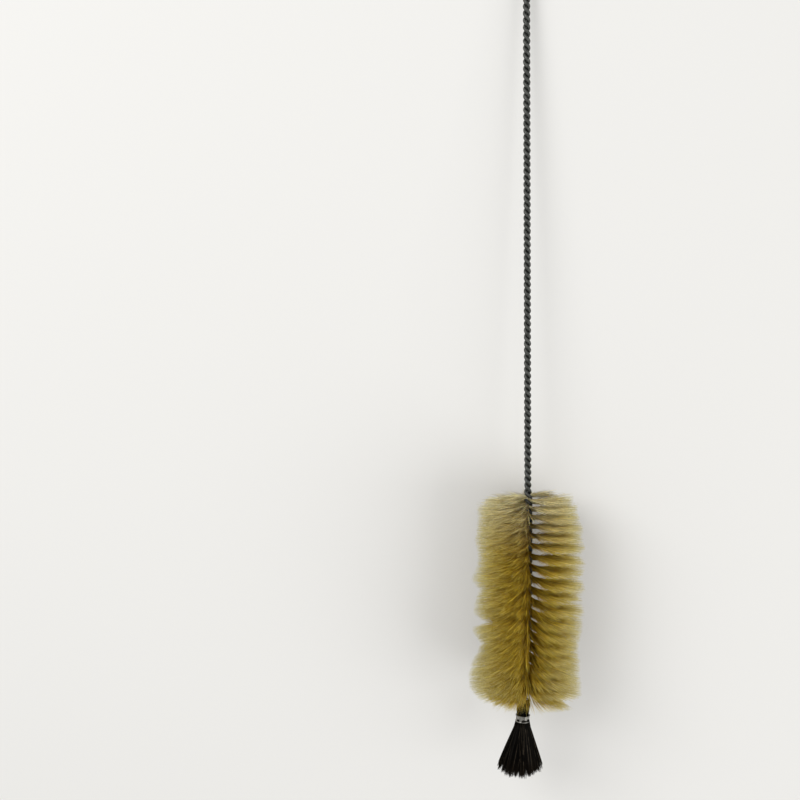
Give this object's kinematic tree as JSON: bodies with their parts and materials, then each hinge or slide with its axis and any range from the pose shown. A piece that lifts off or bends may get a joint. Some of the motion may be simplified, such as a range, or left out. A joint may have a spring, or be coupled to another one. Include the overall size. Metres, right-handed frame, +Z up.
{
  "type": "bottle brush",
  "caption": "Natural-bristle bottle brush on a stem of twisted wire, with a stiff black tuft bound by a ring at its tip and a hanging eye at its end.",
  "frame": {"origin": "centre of the bounding box at the level the brush lies on", "axes": "+Y from the tip tuft towards the hanging eye, +Z up from the surface the brush lies on, +X to the side, away from the bend of the tip"},
  "size_m": [0.0458, 0.3741, 0.0493],
  "materials": {
    "wire": "satin",
    "bristle": "matte",
    "black_hair": "satin",
    "ring": "gloss"
  },
  "bodies": {
    "root": {"twisted_wire": "wire", "bristles": "bristle", "tip_tuft": "black_hair", "tuft_ring": "ring"}
  },
  "joints": []
}
